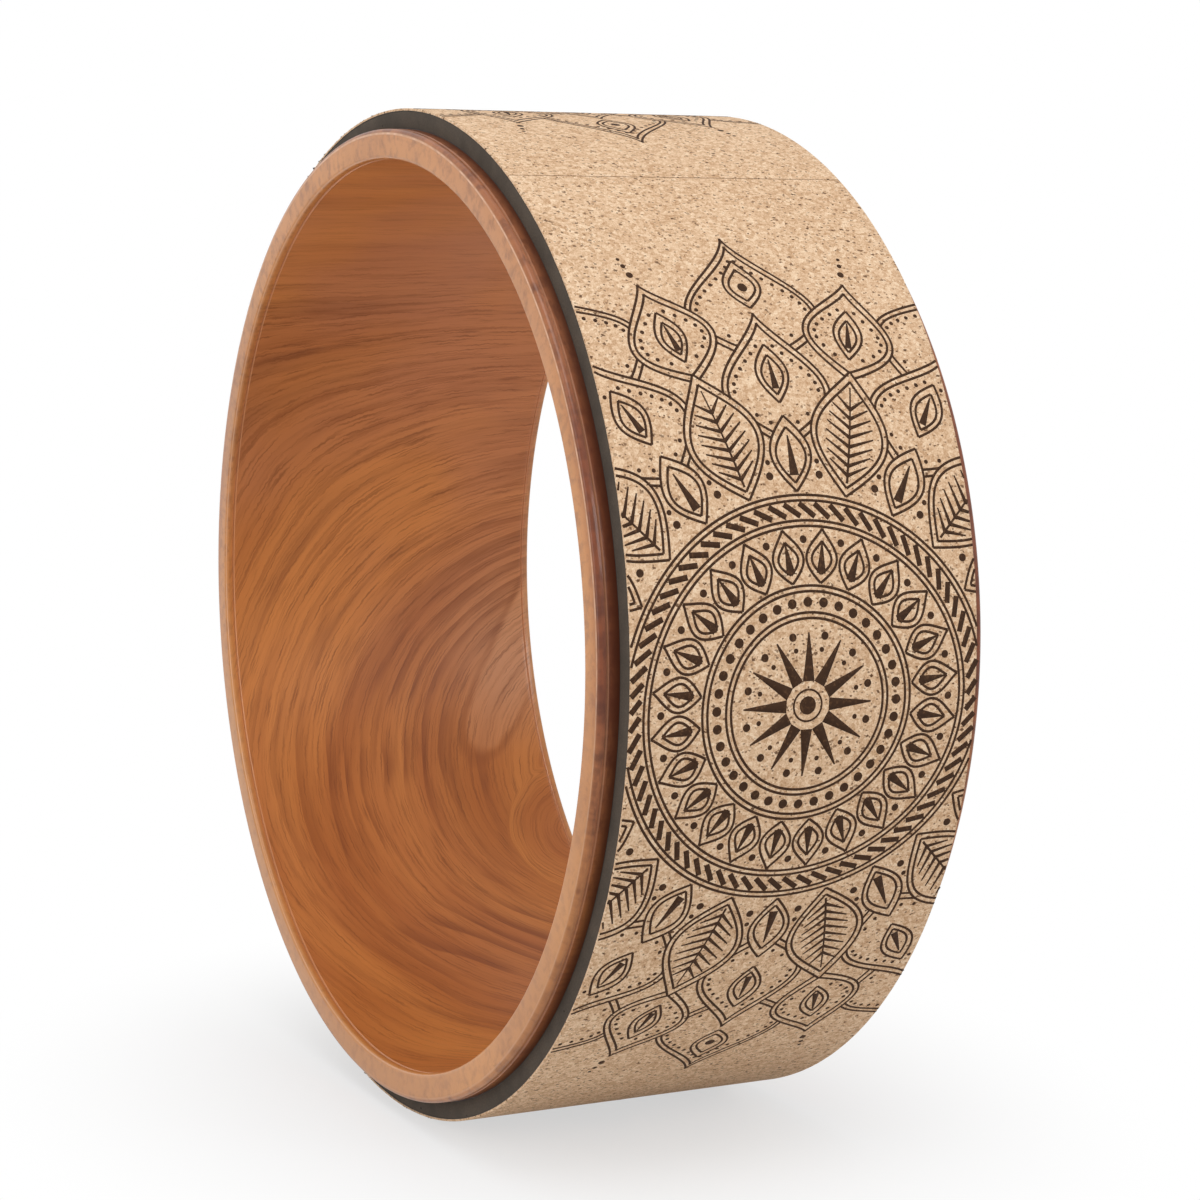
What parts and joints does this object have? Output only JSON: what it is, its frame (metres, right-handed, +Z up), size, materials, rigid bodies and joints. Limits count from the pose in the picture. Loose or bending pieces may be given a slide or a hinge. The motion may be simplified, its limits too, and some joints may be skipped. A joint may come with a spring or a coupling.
{
  "type": "yoga wheel",
  "caption": "Wide open yoga wheel: a moulded hoop with a wood-grain finish and standing lips, foam padding round it and a printed cork tread, for back stretches and balance.",
  "frame": {"origin": "centre of the wheel, on its axle line midway between the lips", "axes": "+Y along the axle line, +Z up with the wheel standing on its tread, +X along the rolling direction"},
  "size_m": [0.33, 0.127, 0.33],
  "materials": {
    "wood_grain_plastic": "brown wood-grain transfer print under a clear gloss coat, on moulded ABS",
    "charcoal_foam": "matt charcoal closed-cell foam with cut edges",
    "cork": "natural granulated cork sheet with a dark brown line print",
    "adhesive": "thin dark adhesive film, only its edges show"
  },
  "bodies": {
    "root": {"hoop": "wood_grain_plastic", "pad_tape": "adhesive", "foam_pad": "charcoal_foam", "cork_glue_film": "adhesive", "cork_cover": "cork"}
  },
  "joints": []
}
